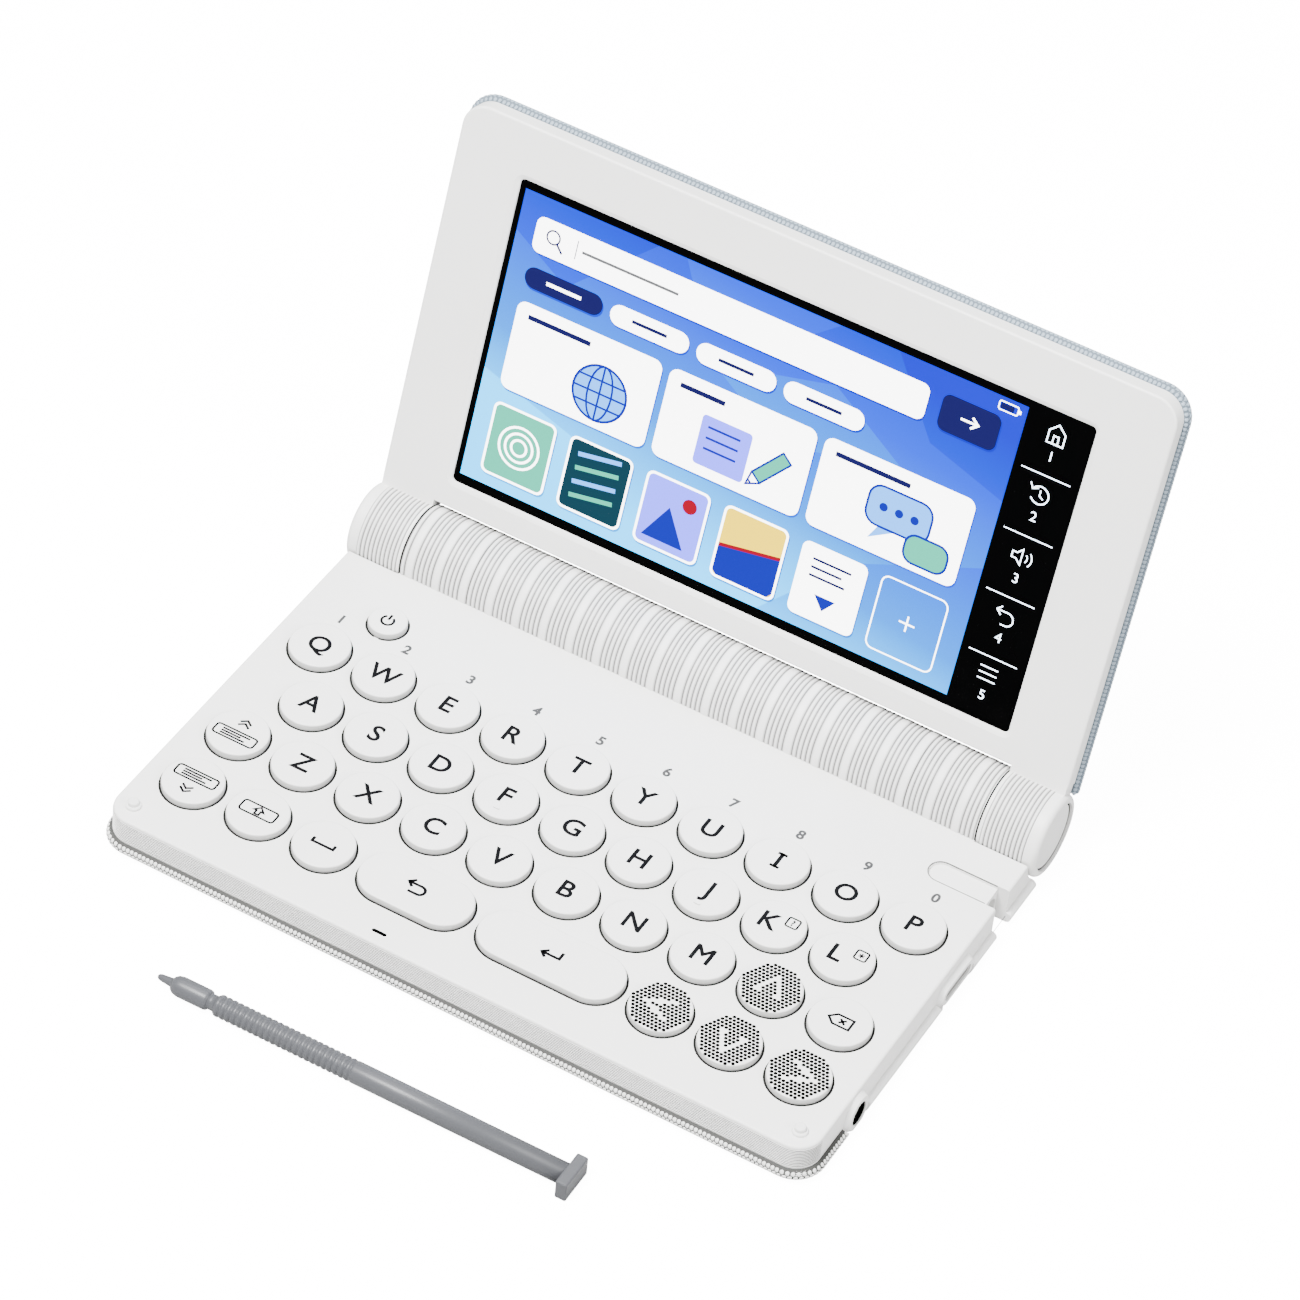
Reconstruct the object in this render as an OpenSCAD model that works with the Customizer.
// Pocket electronic dictionary: a clamshell with a keyboard deck, a screen lid that turns on a
// barrel hinge, and a loose stylus. Lengths are millimetres. The deck's top is drawn at height 0
// and the middle column line at x = 0; the last lines move the whole set onto its origin.

/* [Keyboard] */
// Distance between two keys in a row
key_pitch = 14; // [13.6:0.1:14.6]
// Distance between two letter rows
row_pitch = 13.9; // [13.6:0.1:14.4]
// Distance from the lowest letter row to the bottom row of keys
bottom_row_pitch = 14.9; // [14.2:0.1:15.4]
// Radius of a round key
key_r = 5.87; // [5:0.05:6.1]
// Radius of the power key
power_r = 3.78; // [3:0.05:4.5]
// How far a key stands above the deck
key_rise = 1.36; // [0.8:0.02:1.5]
// Rounding of a key's top edge
key_edge = 0.4; // [0.2:0.05:0.6]
// How far a key can be pressed
key_travel = 0.6; // [0.3:0.05:0.7]
// Running gap round a key in its hole
key_gap = 0.22; // [0.15:0.01:0.3]

/* [Base] */
// From the outer key's middle to the side of the deck
side_room = 10; // [9.8:0.1:12]
// From the bottom row's middle to the front of the deck
front_room = 14.4; // [14:0.1:18]
// Corner radius of the deck
corner_r = 5; // [3:0.25:8]
// Rounding of the deck's top edge
deck_edge = 0.5; // [0.3:0.05:0.8]
// Thickness of the deck
deck_t = 1.2; // [1:0.05:1.4]
// Thickness of the side walls
wall = 1.4; // [1:0.1:1.8]
// Thickness of the bottom plate
floor_t = 1; // [0.8:0.05:1.2]
// Height of the base from its underside to the deck
base_h = 8; // [7.9:0.1:9]
// Radius of the bead round the bottom case
bead_r = 1.15; // [0.8:0.05:1.3]
// How far the feet lift the base
foot_h = 0.5; // [0.3:0.05:1]

/* [Hinge] */
// Height of the hinge axis above the deck
axis_rise = 0.8; // [0.6:0.05:1.2]
// Distance of the hinge axis behind the top letter row
axis_back = 34.3; // [33.5:0.1:36]
// Radius of the hinge barrel
barrel_r = 8.3; // [8:0.05:8.8]
// Wall of the hinge barrel
barrel_wall = 1.4; // [1.2:0.05:1.6]
// How far the barrel reaches past the deck at each side
barrel_over = 1; // [0.5:0.1:2]
// Length of each end knuckle
knuckle_len = 12.1; // [11:0.1:14]
// Rounding of a knuckle's outer edge
knuckle_edge = 1.1; // [0.5:0.05:1.2]
// Side gap between the barrel's middle and its end knuckles
knuckle_gap = 0.2; // [0.1:0.05:0.4]
// Radius of a hinge pin
pin_r = 1.5; // [1.2:0.05:2]
// Running clearance of a pin in its bore
pin_gap = 0.05; // [0.02:0.01:0.08]
// Angle between the deck and the open lid
lid_open = 106.4; // [100:0.2:120]

/* [Lid] */
// Gap between the deck and the bezel when the lid is shut
shut_gap = 1.6; // [1.55:0.05:2]
// Thickness of the lid
lid_t = 6; // [5.6:0.1:6.8]
// How far the shut lid's edge lies behind the deck's front
lid_short = 0.6; // [0:0.1:1]
// How far the back cover reaches past the deck at each side
lid_over = 1.3; // [1.1:0.1:2]
// From the hinge axis to the bezel's lower edge
bezel_foot = 9.7; // [9.3:0.1:11]
// From the side of the lid to the glass
bezel_side = 14.9; // [12:0.1:18]
// From the outer edge of the lid to the glass
bezel_top = 11.6; // [10:0.1:15]
// From the hinge axis to the lower edge of the glass
glass_foot = 15; // [14.5:0.1:16]
// Corner radius of the glass
glass_corner = 1; // [0.5:0.1:3]
// Thickness of the glass
glass_t = 0.7; // [0.5:0.05:0.8]
// How far the glass lies below the bezel's face
glass_sink = 0.7; // [0.3:0.05:0.9]
// Radius of the bead round the back cover
lid_bead_r = 1.3; // [1:0.05:1.4]

/* [Sockets] */
// Radius of the headphone bore
jack_r = 1.75; // [1.7:0.05:1.8]
// Depth of the headphone bore
jack_depth = 14; // [12:0.5:15]
// Distance of the headphone jack in front of the top letter row
jack_front = 39.6; // [38:0.1:41]
// Width of the data socket's neck in the side wall
usb_w = 11.2; // [10:0.1:11.6]
// Height of the data socket's neck
usb_h = 3.6; // [3.2:0.1:4]
// Distance of the data socket in front of the top letter row
usb_front = 2.3; // [1.5:0.1:3]
// How far the collars stand out of the side wall
collar_out = 1; // [0.6:0.05:1.1]
// How far a collar reaches past its neck, all round
collar_over = 1; // [0.6:0.05:1]

/* [Stylus] */
// Radius of the stylus shaft
stylus_r = 2.1; // [1.8:0.05:2.15]
// Length of the stylus
stylus_len = 85.7; // [80:0.1:88]
// Thickness of its flat head
head_t = 2.3; // [2:0.1:2.6]
// Length of its flat head
head_w = 7.8; // [7:0.1:7.8]
// Height of its flat head
head_h = 4.3; // [4.3:0.05:4.6]
// Clearance round the stored stylus
stylus_gap = 0.25; // [0.2:0.05:0.3]
// Distance of the stylus garage behind the top letter row
garage_back = 15.6; // [15.3:0.1:16]
// Turn of the stylus on the table, seen from above
stylus_turn = 0.6; // [0:0.1:3]

/* [Hidden] */
$fn = 64;
eps = 0.01;
big = 400;

white = [0.93, 0.93, 0.91];
off_white = [0.89, 0.89, 0.87];
sky = [0.66, 0.74, 0.82];
grey = [0.36, 0.37, 0.39];
dark = [0.12, 0.12, 0.13];
metal = [0.72, 0.73, 0.75];

// How far a cut runs past a face, and the running gap round a turning knuckle
over = 1;
swing_gap = 0.35;

// Outlines of the deck, the barrel and the lid
bottom_y = -2 * row_pitch - bottom_row_pitch;
front_y = bottom_y - front_room;
deck_half = 4.5 * key_pitch + side_room;
barrel_half = deck_half + barrel_over;
knuckle_in = barrel_half - knuckle_len;
mid_half = knuckle_in - knuckle_gap;
lid_half = deck_half + lid_over;
lid_reach = axis_back - front_y - lid_short;
glass_half = lid_half - bezel_side;
glass_h = lid_reach - bezel_top - glass_foot;

// Heights below the deck
floor_z = -base_h - foot_h;
seam_z = -base_h + 2 * bead_r;
seat_gap = 0.1;
flange_t = 0.4;
flange_out = 0.5;
flange_top = -deck_t - seat_gap;
flange_low = flange_top - flange_t;
dome_gap = 0.05;
dome_h = 0.25;
sheet_t = 0.3;
dome_top = flange_low - key_travel - dome_gap;
sheet_top = dome_top - dome_h;
board_top = sheet_top - sheet_t;
board_t = 0.8;
board_low = board_top - board_t;
plate_top = -base_h + floor_t;

// Keyboard
first_col = -4.5 * key_pitch;
half_col = 0.5;
power_col = 0.5;
power_y = 12.7;
back_cols = [3, 3.79];
enter_cols = [4.78, 6.03];
arrow_cols = [7, 8, 9];
dome_r = 3;

// Deck
bumper_r = 1.5;
bumper_top_r = 1.05;
bumper_foot_h = 0.6;
bumper_edge = 0.3;
bumper_clear = 0.15;
bumper_peg_r = 0.8;
bumper_in = 4;
mic_w = 3;
mic_h = 0.8;
mic_x = -15.9;
mic_in = 2.7;
slot_w = 5.7;
slot_gap = 0.6;
slot_x = -34.4;
slot_h = 0.6;
boss_r = 1.9;
screw_r = 0.95;
screw_gap = 0.05;
screw_head_r = 1.8;
screw_head_t = 0.7;
screw_front = 13;
screw_off_row = 6.4;
side_screw_y = [-row_pitch, -2 * row_pitch - screw_off_row];
boss_sink = 0.3;
side_screw_x = deck_half - wall - boss_r + boss_sink;
rear_screw_in = 21;
rear_screw_x = deck_half - rear_screw_in;
screw_back = axis_back - screw_front;
screw_short = 1.2;
foot_r = 4;
foot_sink = 0.4;
foot_in = 9;
post_r = 1.5;
post_side_in = 17;
post_x = deck_half - post_side_in;
post_in = 5;
knuckle_bay = sqrt(pow(barrel_r + swing_gap, 2) - pow(axis_rise - seam_z, 2));

// Electronics
touch_gap = 0.05;
board_in = 4.1;
board_room = 3;
board_half = deck_half - wall - board_in;
board_front = front_y + wall + board_room;
board_back = key_r + flange_out + 2.1;
tab_back = power_y + power_r + 0.7;
tab_over = [3, 10];
tab_x = [first_col - tab_over[0], first_col + power_col * key_pitch + tab_over[1]];
speaker_w = 18;
speaker_d = 9;
speaker_in = 1.2;
speaker_gap = 0.3;

// Sockets
socket_z = -base_h / 2 - 1;
neck_r = 3.2;
collar_taper = 0.8;
mouth_r = 2.4;
mouth_deep = 1;
jack_body = 5.4;
jack_back = 0.5;
jack_x = deck_half + collar_out - mouth_deep - jack_depth;
shell_in = 0.8;
usb_lip = 0.7;
usb_wall = 0.4;
usb_x = board_half + usb_wall;

// Stylus garage
garage_z = -base_h / 2;
garage_r = stylus_r + stylus_gap;
garage_wall = 0.4;
garage_end = 1;
notch_wall = 1;
notch_deep = head_t + 0.6;
notch_w = head_h + 1.1;
notch_x = deck_half + bead_r - notch_deep - 0.5;
garage_len = stylus_len - head_t + 1.2;
scoop_len = 12.6;
scoop_deep = 0.7;

// Barrel
axis_z = axis_rise;
fit_gap = 0.02;
end_wall = 2;
saddle_t = 1.2;
cell_r = 5.25;
cell_len = 44.5;
cell_gap = 0.15;
nub_r = 1.9;
nub_len = 1.2;
contact_room = 1.5;
contact_in = 1;
contact_t = 0.4;
bay_half = cell_len + contact_room;
bay_wall = 1;
rib_first = 6;
rib_pitch = 16;
rib_t = 1.2;
door_low = -6.4;
door_high = 4.6;
door_half = bay_half + bay_wall;
door_gap = 0.2;
boss_deep = 4.6;
pin_boss_r = 3;
pin_out = 1.0;
cap_r = 6.6;
cap_t = 1.2;
cap_sink = 0.6;
cap_dish = 0.5;
cap_edge = 0.7;
cap_gap = 0.05;

// Lid, drawn shut over the deck with the hinge axis as its origin
face_z = shut_gap - axis_rise;
back_z = face_z + lid_t;
glass_z = face_z + glass_sink;
bezel_t = 1.2;
lid_wall = 1.3;
lid_seam_z = back_z - 2 * lid_bead_r;
bezel_inset = 0.9;
lid_corner_r = corner_r + bezel_inset + 0.1;
cover_t = 1.2;
cover_foot = 7.4;
cover_swing = 0.4;
window_gap = 0.15;
lip = 1;
lip_deep = 0.35;
panel_t = 2.2;
panel_over = 0.8;
lid_board_t = 0.7;
lid_board_h = 16;
lid_board_half = 40;
neck_in = 1.1;
neck_half = lid_half - neck_in;

// Stylus
nib_r = 0.65;
nib_len = 3.3;
collar_len = 7.6;
collar_r = 1.95;
groove_len = 1.5;
groove_r = 1.5;

// The set's origin: midway between the stylus and the lid's back, on the table
lean = lid_open - 90;
lid_back_y = axis_back + (lid_reach - lid_bead_r) * sin(lean)
    + (back_z - lid_bead_r) * cos(lean) + lid_bead_r;
stylus_out = 23;
stylus_tip = [-45.6, front_y - stylus_out];
stylus_front_y = stylus_tip[1] + (stylus_len - head_t) * sin(stylus_turn)
    - head_w / 2 * cos(stylus_turn);
mid_y = (lid_back_y + stylus_front_y) / 2;

function key_x(col) = first_col + col * key_pitch;

// ---------- shared shapes ----------

module place() {
    translate([0, -mid_y, -floor_z]) children();
}

module place_lid() {
    place() translate([0, axis_back, axis_z]) rotate([-lid_open, 0, 0]) children();
}

// A disc whose top edge is rounded
module soft_disc(r, h, edge) {
    rotate_extrude() {
        square([r - edge, h]);
        square([r, h - edge]);
        translate([r - edge, h - edge]) intersection() {
            circle(edge);
            square(edge);
        }
    }
}

// A rod along x
module rod(r, x0, x1) {
    translate([x0, 0, 0]) rotate([0, 90, 0]) cylinder(r = r, h = x1 - x0);
}

// Both sides of the object
module both_sides() {
    children();
    mirror([1, 0, 0]) children();
}

// A plan with its two front corners rounded
module front_round(half, front, back, r) {
    translate([-half, front + r]) square([2 * half, back - front - r]);
    translate([-half + r, front]) square([2 * (half - r), r + eps]);
    for (s = [-1, 1]) translate([s * (half - r), front + r]) circle(r);
}

// A round bead along the front and both sides of that plan
module bead_run(half, front, back, r, bead) {
    both_sides() {
        translate([half, front + r, 0]) rotate([-90, 0, 0]) cylinder(r = bead, h = back - front - r);
        translate([half - r, front + r, 0]) rotate([0, 0, -90]) rotate_extrude(angle = 90)
            translate([r, 0]) circle(bead);
    }
    translate([0, front, 0]) rod(bead, -half + r, half - r);
}

// A stadium along x, from one centre to the other
module long_hole(x0, x1, r, h) {
    for (x = [x0, x1]) translate([x, 0, 0]) cylinder(r = r, h = h);
    translate([x0, -r, 0]) cube([x1 - x0, 2 * r, h]);
}

module barrel_space(r, half) {
    translate([0, axis_back, axis_z]) rod(r, -half, half);
}

// ---------- keys ----------

module round_key_body(r) {
    translate([0, 0, flange_low]) cylinder(r = r + flange_out, h = flange_t);
    translate([0, 0, flange_low]) soft_disc(r, key_rise - flange_low, key_edge);
}

module round_key(x, y, r = key_r) {
    place() translate([x, y, 0]) color(white) round_key_body(r);
}

module letter_key(col, row) {
    round_key(key_x(col + row * half_col), -row * row_pitch);
}

module soft_bar(length, r, h, edge) {
    rotate([90, 0, 90]) linear_extrude(length) both_sides() {
        square([r - edge, h]);
        square([r, h - edge]);
        translate([r - edge, h - edge]) circle(edge);
    }
}

module long_key(cols) {
    length = (cols[1] - cols[0]) * key_pitch;
    place() translate([key_x(cols[0]), bottom_y, 0]) color(white) {
        for (x = [0, length]) translate([x, 0, 0]) round_key_body(key_r);
        translate([0, 0, flange_low]) soft_bar(length, key_r, key_rise - flange_low, key_edge);
        translate([0, -key_r - flange_out, flange_low])
            cube([length, 2 * (key_r + flange_out), flange_t]);
    }
}

// Every round key's place: the letters, then the keys round them
module at_round_keys() {
    for (col = [0:9]) translate([key_x(col), 0, 0]) children();
    for (col = [0:8]) translate([key_x(col + half_col), -row_pitch, 0]) children();
    for (col = [0:9]) translate([key_x(col), -2 * row_pitch, 0]) children();
    for (col = concat([0, 1, 2], arrow_cols)) translate([key_x(col), bottom_y, 0]) children();
}

module key_holes() {
    translate([0, 0, -base_h / 2]) {
        at_round_keys() cylinder(r = key_r + key_gap, h = base_h);
        translate([key_x(power_col), power_y, 0]) cylinder(r = power_r + key_gap, h = base_h);
        for (cols = [back_cols, enter_cols]) translate([0, bottom_y, 0])
            long_hole(key_x(cols[0]), key_x(cols[1]), key_r + key_gap, base_h);
    }
}

// ---------- base ----------

module at_screws() {
    both_sides() {
        for (y = side_screw_y) translate([side_screw_x, y, 0]) children();
        translate([rear_screw_x, screw_back, 0]) children();
    }
}

module at_posts() {
    for (x = [-post_x, 0, post_x], y = [board_front + post_in, board_back - post_in])
        translate([x, y, 0]) children();
}

module at_bumpers() {
    both_sides() translate([deck_half - bumper_in, front_y + bumper_in, 0]) children();
}

module at_feet() {
    both_sides() for (y = [front_y + foot_in, axis_back - barrel_r - foot_in])
        translate([deck_half - foot_in, y, -base_h]) children();
}

module notch() {
    translate([notch_x, garage_back - notch_w / 2, -big / 2]) cube([big, notch_w, big]);
}

module garage_bore() {
    translate([0, garage_back, garage_z]) rod(garage_r, notch_x - garage_len, notch_x + over);
}

module scoop() {
    translate([0, garage_back, -scoop_deep])
        long_hole(notch_x - scoop_len + garage_r, notch_x + over, garage_r + 0.1, big);
}

// Cuts for the two sockets in the right-hand wall: the neck, then the collar outside
module socket_cuts(gap) {
    translate([0, -jack_front, socket_z]) {
        rod(neck_r + gap, board_half, deck_half + eps);
        rod(neck_r + collar_over + gap, deck_half, big);
    }
    translate([0, -usb_front, socket_z]) {
        flat_rod(usb_w + 2 * gap, usb_h + 2 * gap, board_half, deck_half + eps);
        flat_rod(usb_w + 2 * (collar_over + gap), usb_h + 2 * (collar_over + gap), deck_half, big);
    }
}

// A bar along x with a round front and back; it may narrow by taper all round
module flat_rod(w, h, x0, x1, taper = 0) {
    half = (w - h) / 2;
    for (s = [-1, 1]) translate([x0, s * half, 0]) rotate([0, 90, 0])
        cylinder(r1 = h / 2, r2 = h / 2 - taper, h = x1 - x0);
    translate([0, half, 0]) rotate([90, 0, 0]) linear_extrude(2 * half)
        polygon([[x0, -h / 2], [x1, -h / 2 + taper], [x1, h / 2 - taper], [x0, h / 2]]);
}

// The hollow saddle that hugs the barrel: its wall, then the space inside it
module saddle_wall(low, high) {
    intersection() {
        barrel_space(barrel_r + saddle_t + swing_gap, deck_half - wall / 2);
        translate([-deck_half, axis_back - 2 * barrel_r, low])
            cube([2 * deck_half, 2 * barrel_r, high - low]);
    }
}

module barrel_cut() {
    barrel_space(barrel_r + fit_gap, mid_half + knuckle_gap / 2);
    difference() {
        barrel_space(barrel_r + swing_gap, big / 2);
        barrel_space(big, mid_half + knuckle_gap / 2 - eps);
    }
}

module deck_plate() {
    translate([0, 0, -deck_t]) linear_extrude(deck_t)
        front_round(deck_half - deck_edge, front_y + deck_edge, axis_back, corner_r - deck_edge);
    translate([0, 0, seam_z]) linear_extrude(-seam_z - deck_edge)
        front_round(deck_half, front_y, axis_back, corner_r);
    translate([0, 0, -deck_edge])
        bead_run(deck_half - deck_edge, front_y + deck_edge, axis_back, corner_r - deck_edge, deck_edge);
}

module base_top_case() {
    place() color(white) difference() {
        union() {
            difference() {
                deck_plate();
                translate([0, 0, seam_z - over]) linear_extrude(-deck_t - seam_z + over)
                    front_round(deck_half - wall, front_y + wall, big, corner_r - wall);
            }
            saddle_wall(seam_z, 0);
            translate([0, garage_back, garage_z])
                rod(garage_r + garage_wall, notch_x - garage_len - garage_end, notch_x);
            translate([notch_x - notch_wall, garage_back - notch_w / 2 - notch_wall, seam_z])
                cube([deck_half - notch_x + notch_wall - eps, notch_w + 2 * notch_wall, -seam_z - deck_edge]);
            at_screws() translate([0, 0, seam_z]) cylinder(r = boss_r, h = -seam_z - deck_edge);
        }
        key_holes();
        barrel_cut();
        notch();
        scoop();
        garage_bore();
        socket_cuts(seat_gap);
        at_screws() translate([0, 0, seam_z - over])
            cylinder(r = screw_r + screw_gap, h = over - seam_z - deck_t - screw_short / 2);
        at_bumpers() translate([0, 0, -base_h / 2]) cylinder(r = bumper_peg_r + screw_gap, h = base_h);
        translate([mic_x, front_y + mic_in, -base_h / 2])
            long_hole(-(mic_w - mic_h) / 2, (mic_w - mic_h) / 2, mic_h / 2, base_h);
    }
}

module base_bottom_case() {
    place() color(off_white) difference() {
        union() {
            difference() {
                translate([0, 0, -base_h]) linear_extrude(2 * bead_r)
                    front_round(deck_half, front_y, axis_back, corner_r);
                translate([0, 0, plate_top]) linear_extrude(base_h)
                    front_round(deck_half - wall, front_y + wall, big, corner_r - wall);
            }
            translate([0, 0, -base_h + bead_r])
                bead_run(deck_half, front_y, axis_back, corner_r, bead_r);
            saddle_wall(-base_h, seam_z);
            translate([notch_x - notch_wall, garage_back - notch_w / 2 - notch_wall, -base_h])
                cube([deck_half - notch_x, notch_w + 2 * notch_wall, 2 * bead_r]);
            at_screws() translate([0, 0, -base_h]) cylinder(r = boss_r, h = 2 * bead_r);
            at_posts() translate([0, 0, -base_h + eps]) cylinder(r = post_r, h = board_low + base_h - eps);
        }
        barrel_cut();
        both_sides() translate([mid_half + knuckle_gap / 2, axis_back - knuckle_bay, -big / 2])
            cube([big, big, big]);
        notch();
        translate([0, garage_back, garage_z])
            rod(garage_r + garage_wall + seat_gap, notch_x - garage_len - garage_end - seat_gap, notch_x + eps);
        garage_bore();
        socket_cuts(seat_gap);
        at_screws() translate([0, 0, -base_h - over]) {
            cylinder(r = screw_r + screw_gap, h = base_h);
            cylinder(r = screw_head_r + screw_gap, h = over + screw_head_t + screw_gap);
        }
        at_feet() translate([0, 0, -over]) cylinder(r = foot_r + screw_gap, h = over + foot_sink);
        translate([slot_x, front_y, seam_z])
            for (i = [-1:1]) translate([i * (slot_w + slot_gap) - slot_w / 2, -big / 2, -slot_h])
                cube([slot_w, big / 2 + wall + over, big]);
    }
}

module rubber_feet() {
    place() color(grey) at_feet() translate([0, 0, -foot_h]) cylinder(r = foot_r, h = foot_h + foot_sink);
}

module stop_bumpers() {
    place() color(off_white) at_bumpers() {
        soft_disc(bumper_r, bumper_foot_h, bumper_edge);
        soft_disc(bumper_top_r, shut_gap - bumper_clear, bumper_edge);
        translate([0, 0, -deck_t]) cylinder(r = bumper_peg_r, h = deck_t + eps);
    }
}

module case_screws() {
    place() color(metal) at_screws() {
        translate([0, 0, -base_h]) cylinder(r = screw_head_r, h = screw_head_t);
        translate([0, 0, -base_h]) cylinder(r = screw_r, h = base_h - deck_t - screw_short);
    }
}

// ---------- inside the base ----------

module board_plan() {
    translate([-board_half, board_front]) square([2 * board_half, board_back - board_front]);
    translate([tab_x[0], board_back - over]) square([tab_x[1] - tab_x[0], tab_back - board_back + over]);
}

module keypad_rubber() {
    place() color([0.8, 0.8, 0.8]) translate([0, 0, board_top]) {
        linear_extrude(sheet_t) board_plan();
        at_round_keys() cylinder(r = dome_r, h = sheet_t + dome_h);
        translate([key_x(power_col), power_y, 0]) cylinder(r = dome_r, h = sheet_t + dome_h);
        for (col = concat(back_cols, enter_cols)) translate([key_x(col), bottom_y, 0])
            cylinder(r = dome_r, h = sheet_t + dome_h);
    }
}

module main_board() {
    place() color([0.1, 0.35, 0.2]) difference() {
        translate([0, 0, board_low]) linear_extrude(board_t) board_plan();
        translate([jack_x - jack_back - seat_gap, -jack_front - jack_body / 2 - seat_gap, -base_h])
            cube([big, jack_body + 2 * seat_gap, base_h]);
    }
}

module speaker() {
    place() color(dark) translate([slot_x - speaker_w / 2, front_y + wall + speaker_in, plate_top])
        cube([speaker_w, speaker_d, board_low - plate_top - speaker_gap]);
}

module headphone_jack() {
    face_x = deck_half + collar_out;
    wide_r = neck_r + collar_over;
    place() color(white) translate([0, -jack_front, 0]) difference() {
        union() {
            translate([0, 0, socket_z]) {
                rod(neck_r, deck_half - wall, deck_half + eps);
                translate([deck_half, 0, 0]) rotate([0, 90, 0])
                    cylinder(r1 = wide_r, r2 = wide_r - collar_taper, h = collar_out);
            }
            translate([jack_x - jack_back, -jack_body / 2, plate_top])
                cube([deck_half - wall - jack_x + jack_back + eps, jack_body, board_top - touch_gap - plate_top]);
        }
        translate([0, 0, socket_z]) {
            rod(jack_r, jack_x, big);
            rod(mouth_r, face_x - mouth_deep, big);
        }
        translate([deck_half - wall - over, -big / 2, -big - base_h]) cube([big, big, big]);
    }
}

module usb_port() {
    wide = 2 * collar_over;
    place() color(white) translate([0, -usb_front, socket_z]) difference() {
        union() {
            flat_rod(usb_w, usb_h, deck_half - wall, deck_half + eps);
            flat_rod(usb_w + wide, usb_h + wide, deck_half, deck_half + collar_out, collar_taper);
            flat_rod(usb_w - 2 * shell_in, usb_h - 2 * shell_in + usb_wall, usb_x, deck_half - wall + eps);
        }
        flat_rod(usb_w - 2 * usb_lip, usb_h - 2 * usb_lip, deck_half - wall + usb_wall, big);
        flat_rod(usb_w - 2 * (shell_in + usb_wall), usb_h - 2 * shell_in - usb_wall, usb_x + usb_wall, big);
    }
}

// ---------- barrel ----------

module at_axis() {
    place() translate([0, axis_back, axis_z]) children();
}

module door_cut(gap) {
    translate([-door_half - gap, 0, door_low - gap])
        cube([2 * (door_half + gap), big, door_high - door_low + 2 * gap]);
}

module hinge_barrel() {
    at_axis() color(white) difference() {
        rod(barrel_r, -mid_half, mid_half);
        difference() {
            rod(barrel_r - barrel_wall, -mid_half + end_wall, mid_half - end_wall);
            both_sides() {
                translate([bay_half, -barrel_r, -barrel_r]) cube([bay_wall, 2 * barrel_r, 2 * barrel_r]);
                for (i = [0:2]) difference() {
                    translate([rib_first + i * rib_pitch, -barrel_r, -barrel_r])
                        cube([rib_t, 2 * barrel_r, 2 * barrel_r]);
                    rod(cell_r + cell_gap, 0, mid_half);
                }
            }
        }
        door_cut(0);
        both_sides() rod(pin_r + pin_gap, mid_half - end_wall - over, big);
    }
}

module battery_door() {
    at_axis() color(white) intersection() {
        difference() {
            rod(barrel_r, -door_half, door_half);
            rod(barrel_r - barrel_wall, -big, big);
        }
        door_cut(-door_gap);
    }
}

module cell() {
    rod(cell_r, 0, cell_len - nub_len);
    rod(nub_r, 0, cell_len);
}

module batteries() {
    at_axis() color([0.25, 0.3, 0.35]) {
        translate([-cell_len, 0, 0]) cell();
        translate([eps, 0, 0]) cell();
    }
}

module battery_contacts() {
    at_axis() color(metal) both_sides() {
        rod(cell_r - contact_in, bay_half - contact_t, bay_half);
        rod(nub_r, cell_len + touch_gap, bay_half);
    }
}

// ---------- lid ----------

// A lid-shaped plan: the outer edge is at the front, as when the lid is shut
module lid_plan(inset, foot) {
    front_round(lid_half - inset, -lid_reach + inset, -foot, lid_corner_r - inset);
}

module glass_plan(grow) {
    r = glass_corner + grow;
    translate([0, -glass_foot - glass_h / 2]) {
        square([2 * (glass_half + grow - r), glass_h + 2 * grow], center = true);
        square([2 * (glass_half + grow), glass_h + 2 * (grow - r)], center = true);
        for (x = [-1, 1], y = [-1, 1]) translate([x * (glass_half + grow - r), y * (glass_h / 2 + grow - r)])
            circle(r);
    }
}

module knuckle() {
    difference() {
        union() {
            translate([knuckle_in, 0, 0]) rotate([0, 90, 0]) soft_disc(barrel_r, knuckle_len, knuckle_edge);
            translate([knuckle_in, -bezel_foot - over, face_z])
                cube([neck_half - knuckle_in, bezel_foot + over, lid_seam_z - face_z]);
        }
        difference() {
            rod(barrel_r - barrel_wall, knuckle_in + end_wall, big);
            rod(pin_boss_r, knuckle_in, knuckle_in + boss_deep);
        }
        rod(cap_r + cap_gap, barrel_half - cap_sink - cap_t, big);
        rod(pin_r + fit_gap, 0, knuckle_in + boss_deep);
    }
}

module lid_bezel() {
    place_lid() color(white) {
        difference() {
            union() {
                translate([0, 0, face_z + deck_edge]) linear_extrude(lid_seam_z - face_z - deck_edge)
                    lid_plan(bezel_inset, bezel_foot);
                translate([0, 0, face_z]) linear_extrude(bezel_t)
                    lid_plan(bezel_inset + deck_edge, bezel_foot);
                translate([0, 0, face_z + deck_edge]) bead_run(
                    lid_half - bezel_inset - deck_edge, -lid_reach + bezel_inset + deck_edge,
                    -bezel_foot, lid_corner_r - bezel_inset - deck_edge, deck_edge);
            }
            translate([0, 0, face_z + bezel_t]) linear_extrude(big)
                lid_plan(bezel_inset + lid_wall, bezel_foot + lid_wall);
            translate([0, 0, face_z - over]) linear_extrude(over + lip_deep) glass_plan(lip);
            translate([0, 0, face_z - over]) linear_extrude(big) glass_plan(window_gap);
        }
        both_sides() knuckle();
    }
}

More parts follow.
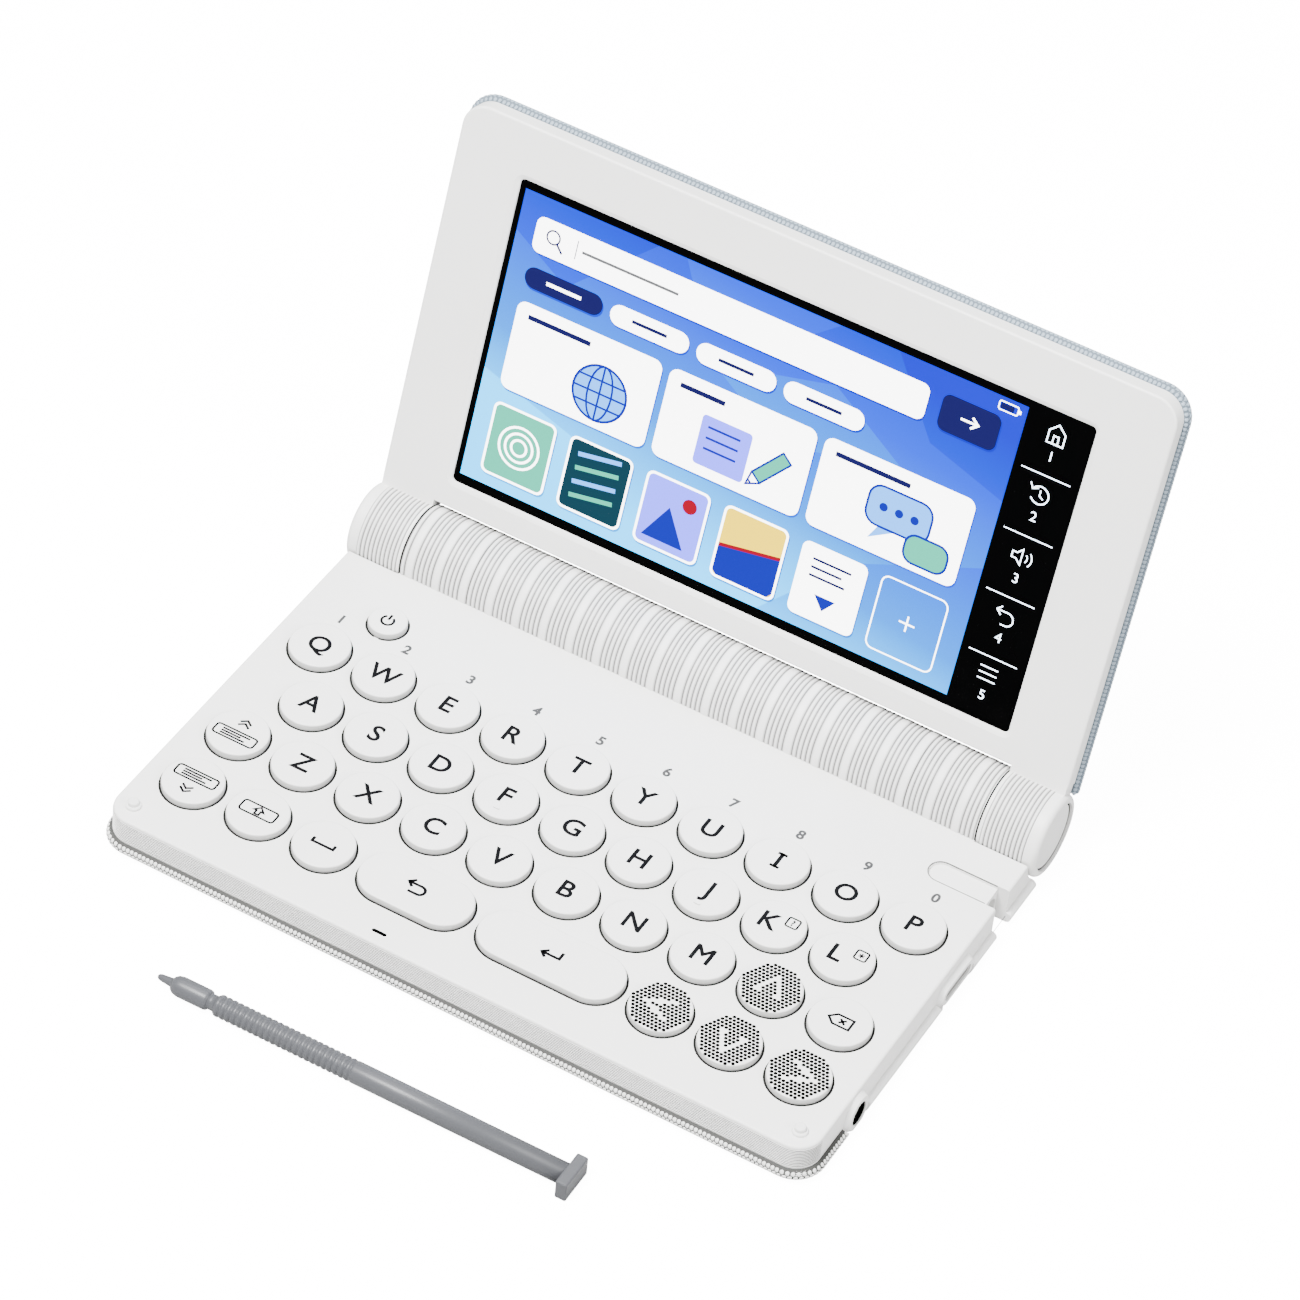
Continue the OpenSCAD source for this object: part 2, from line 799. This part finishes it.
module lid_back_cover() {
    place_lid() color(sky) difference() {
        union() {
            translate([0, 0, lid_seam_z]) linear_extrude(2 * lid_bead_r)
                lid_plan(lid_bead_r, cover_foot);
            translate([0, 0, lid_seam_z + lid_bead_r]) bead_run(
                lid_half - lid_bead_r, -lid_reach + lid_bead_r, -cover_foot,
                lid_corner_r - lid_bead_r, lid_bead_r);
        }
        translate([0, 0, lid_seam_z - over]) linear_extrude(over + 2 * lid_bead_r - cover_t)
            lid_plan(lid_bead_r + lid_wall, cover_foot + lid_wall);
        rod(barrel_r + cover_swing, -knuckle_in, knuckle_in);
        both_sides() rod(barrel_r + touch_gap, knuckle_in - over, big);
    }
}

module touch_glass() {
    place_lid() color(dark) translate([0, 0, glass_z]) linear_extrude(glass_t) glass_plan(0);
}

module display_panel() {
    place_lid() color(grey) translate([0, 0, glass_z + glass_t]) linear_extrude(panel_t)
        glass_plan(panel_over);
}

module display_board() {
    place_lid() color([0.1, 0.35, 0.2])
        translate([-lid_board_half, -glass_foot - lid_board_h, glass_z + glass_t + panel_t])
            cube([2 * lid_board_half, lid_board_h, lid_board_t]);
}

module knuckle_end_caps() {
    place_lid() color(off_white) both_sides()
        translate([barrel_half - cap_sink - cap_t, 0, 0]) rotate([0, 90, 0]) rotate_extrude()
            polygon([[0, 0], [cap_r, 0], [cap_r, cap_t], [cap_r - cap_edge, cap_t], [0, cap_t - cap_dish]]);
}

module hinge_pins() {
    place_lid() color(metal) both_sides()
        rod(pin_r, mid_half - end_wall - pin_out, knuckle_in + boss_deep);
}

// ---------- stylus ----------

module stylus() {
    place() translate([stylus_tip[0], stylus_tip[1], floor_z + head_h / 2]) rotate([0, 0, stylus_turn])
        color(grey) {
            rod(nib_r, 0, nib_len + over);
            rod(collar_r, nib_len, nib_len + collar_len);
            rod(groove_r, nib_len + collar_len - over, nib_len + collar_len + groove_len + over);
            rod(stylus_r, nib_len + collar_len + groove_len, stylus_len - head_t + eps);
            translate([stylus_len - head_t, -head_w / 2, -head_h / 2]) cube([head_t, head_w, head_h]);
        }
}

// ---------- every node, once ----------

base_top_case();
base_bottom_case();
hinge_barrel();
battery_door();
batteries();
battery_contacts();
keypad_rubber();
main_board();
speaker();
headphone_jack();
usb_port();
case_screws();
rubber_feet();
stop_bumpers();
lid_bezel();
lid_back_cover();
touch_glass();
display_panel();
display_board();
knuckle_end_caps();
hinge_pins();
stylus();
letter_key(0, 0);  // key_q
letter_key(1, 0);  // key_w
letter_key(2, 0);  // key_e
letter_key(3, 0);  // key_r
letter_key(4, 0);  // key_t
letter_key(5, 0);  // key_y
letter_key(6, 0);  // key_u
letter_key(7, 0);  // key_i
letter_key(8, 0);  // key_o
letter_key(9, 0);  // key_p
letter_key(0, 1);  // key_a
letter_key(1, 1);  // key_s
letter_key(2, 1);  // key_d
letter_key(3, 1);  // key_f
letter_key(4, 1);  // key_g
letter_key(5, 1);  // key_h
letter_key(6, 1);  // key_j
letter_key(7, 1);  // key_k
letter_key(8, 1);  // key_l
letter_key(0, 2);  // key_z
letter_key(1, 2);  // key_x
letter_key(2, 2);  // key_c
letter_key(3, 2);  // key_v
letter_key(4, 2);  // key_b
letter_key(5, 2);  // key_n
letter_key(6, 2);  // key_m
round_key(key_x(power_col), power_y, power_r);  // key_power
round_key(key_x(0), -2 * row_pitch);  // key_page_up
round_key(key_x(0), bottom_y);  // key_page_down
round_key(key_x(1), bottom_y);  // key_shift
round_key(key_x(2), bottom_y);  // key_space
long_key(back_cols);  // key_back
long_key(enter_cols);  // key_enter
round_key(key_x(9), -2 * row_pitch);  // key_delete
round_key(key_x(8), -2 * row_pitch);  // key_arrow_up
round_key(key_x(arrow_cols[0]), bottom_y);  // key_arrow_left
round_key(key_x(arrow_cols[1]), bottom_y);  // key_arrow_down
round_key(key_x(arrow_cols[2]), bottom_y);  // key_arrow_right
